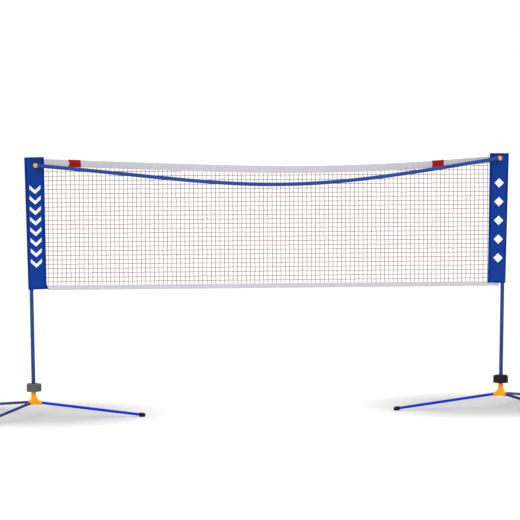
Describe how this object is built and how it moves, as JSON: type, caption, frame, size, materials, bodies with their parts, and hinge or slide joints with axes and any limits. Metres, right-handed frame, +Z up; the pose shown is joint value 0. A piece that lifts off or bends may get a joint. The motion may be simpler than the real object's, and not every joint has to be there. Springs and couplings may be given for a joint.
{
  "type": "portable badminton net",
  "caption": "Free-standing portable badminton net: netting between two fabric sleeves on tripod-based poles, with a bowed tubular bar hung in front.",
  "frame": {"origin": "on the floor, in the middle of the area that the six feet take up", "axes": "+X along the net towards the right pole as seen from the bowed bar's side, +Y away from that side, +Z up"},
  "size_m": [3.6019, 1.1861, 1.5511],
  "materials": {
    "pole_paint": "smooth dark blue powder coat",
    "leg_paint": "smooth bright blue powder coat",
    "bar_paint": "smooth blue powder coat",
    "orange_plastic": "moulded, satin",
    "nut_grey": "moulded, matt",
    "nut_black": "moulded, matt",
    "black_plastic": "moulded, matt",
    "foot_rubber": "matt rubber",
    "steel": "plain bright steel",
    "sleeve_fabric": "woven cloth, blue",
    "tape_fabric": "woven tape, off-white",
    "marker_fabric": "woven band, red",
    "netting": "square cord netting, dark red"
  },
  "bodies": {
    "net_frame": {"left_upper_pole": "pole_paint", "left_pole_top_cap": "black_plastic", "left_sleeve": "sleeve_fabric", "left_sleeve_eyelet": "steel", "left_bar_bracket": "black_plastic", "left_ball_stud": "steel", "right_upper_pole": "pole_paint", "right_pole_top_cap": "black_plastic", "right_sleeve": "sleeve_fabric", "right_sleeve_eyelet": "steel", "right_bar_bracket": "black_plastic", "right_ball_stud": "steel", "net_panel": "netting", "top_tape": "tape_fabric", "bottom_tape": "tape_fabric", "left_marker": "marker_fabric", "right_marker": "marker_fabric"},
    "crossbar": {"bar_section_1": "bar_paint", "bar_section_2": "bar_paint", "bar_section_3": "bar_paint", "bar_section_4": "bar_paint", "bar_spigot_1": "steel", "bar_spigot_2": "steel", "bar_spigot_3": "steel", "left_bar_end_socket": "orange_plastic", "right_bar_end_socket": "orange_plastic"},
    "left_lower_pole": {"left_lower_pole": "pole_paint", "left_pole_spigot": "steel"},
    "left_clamp": {"left_clamp_collet": "black_plastic"},
    "left_base": {"left_hub": "orange_plastic"},
    "left_washer": {"left_thrust_washer": "steel"},
    "left_nut": {"left_locking_nut": "nut_grey"},
    "left_inner_leg": {"left_leg_inner": "leg_paint", "left_foot_inner": "foot_rubber"},
    "left_front_leg": {"left_leg_front": "leg_paint", "left_foot_front": "foot_rubber"},
    "left_back_leg": {"left_leg_back": "leg_paint", "left_foot_back": "foot_rubber"},
    "right_lower_pole": {"right_lower_pole": "pole_paint", "right_pole_spigot": "steel"},
    "right_clamp": {"right_clamp_collet": "black_plastic"},
    "right_base": {"right_hub": "orange_plastic"},
    "right_washer": {"right_thrust_washer": "steel"},
    "right_nut": {"right_locking_nut": "nut_black"},
    "right_inner_leg": {"right_leg_inner": "leg_paint", "right_foot_inner": "foot_rubber"},
    "right_front_leg": {"right_leg_front": "leg_paint", "right_foot_front": "foot_rubber"},
    "right_back_leg": {"right_leg_back": "leg_paint", "right_foot_back": "foot_rubber"}
  },
  "joints": [
    {"name": "crossbar_swing", "type": "hinge", "parent": "net_frame", "child": "crossbar", "pos_m": [-1.37362, -0.05865, 1.50238], "axis": [1, 0, 0.0068], "range_deg": [-20, 8]},
    {"name": "left_pole_pull", "type": "slide", "parent": "net_frame", "child": "left_lower_pole", "axis": [0.014, 0, -0.9999], "range_m": [0, 0.05]},
    {"name": "left_base_pull", "type": "slide", "parent": "left_lower_pole", "child": "left_clamp", "axis": [0.014, 0, -0.9999], "range_m": [0, 0.08]},
    {"name": "left_base_swivel", "type": "hinge", "parent": "left_clamp", "child": "left_base", "pos_m": [-1.39124, -0.02265, 0.15], "axis": [0, 0, 1], "continuous": true},
    {"name": "left_nut_rise", "type": "slide", "parent": "left_base", "child": "left_washer", "axis": [0, 0, 1], "range_m": [0, 0.0051]},
    {"name": "left_nut_turn", "type": "hinge", "parent": "left_washer", "child": "left_nut", "pos_m": [-1.39124, -0.02265, 0.203], "axis": [0, 0, 1], "range_deg": [0, 450]},
    {"name": "left_inner_leg_pull", "type": "slide", "parent": "left_base", "child": "left_inner_leg", "axis": [0.9842, -0.1261, -0.1245], "range_m": [0, 0.025]},
    {"name": "left_front_leg_pull", "type": "slide", "parent": "left_base", "child": "left_front_leg", "axis": [-0.6013, -0.7893, -0.1245], "range_m": [0, 0.025]},
    {"name": "left_back_leg_pull", "type": "slide", "parent": "left_base", "child": "left_back_leg", "axis": [-0.3829, 0.9154, -0.1245], "range_m": [0, 0.025]},
    {"name": "right_pole_pull", "type": "slide", "parent": "net_frame", "child": "right_lower_pole", "axis": [-0.014, 0, -0.9999], "range_m": [0, 0.05]},
    {"name": "right_base_pull", "type": "slide", "parent": "right_lower_pole", "child": "right_clamp", "axis": [-0.014, 0, -0.9999], "range_m": [0, 0.08]},
    {"name": "right_base_swivel", "type": "hinge", "parent": "right_clamp", "child": "right_base", "pos_m": [1.44876, -0.02265, 0.15], "axis": [0, 0, 1], "continuous": true},
    {"name": "right_nut_rise", "type": "slide", "parent": "right_base", "child": "right_washer", "axis": [0, 0, 1], "range_m": [0, 0.0051]},
    {"name": "right_nut_turn", "type": "hinge", "parent": "right_washer", "child": "right_nut", "pos_m": [1.44876, -0.02265, 0.203], "axis": [0, 0, 1], "range_deg": [0, 450]},
    {"name": "right_inner_leg_pull", "type": "slide", "parent": "right_base", "child": "right_inner_leg", "axis": [-0.992, -0.0225, -0.1245], "range_m": [0, 0.025]},
    {"name": "right_front_leg_pull", "type": "slide", "parent": "right_base", "child": "right_front_leg", "axis": [0.5155, -0.8478, -0.1245], "range_m": [0, 0.025]},
    {"name": "right_back_leg_pull", "type": "slide", "parent": "right_base", "child": "right_back_leg", "axis": [0.4765, 0.8703, -0.1245], "range_m": [0, 0.025]}
  ],
  "couplings": [
    {"joint": "left_nut_rise", "follows": "left_nut_turn", "m_per_rad": 0.00063662},
    {"joint": "right_nut_rise", "follows": "right_nut_turn", "m_per_rad": 0.00063662}
  ]
}
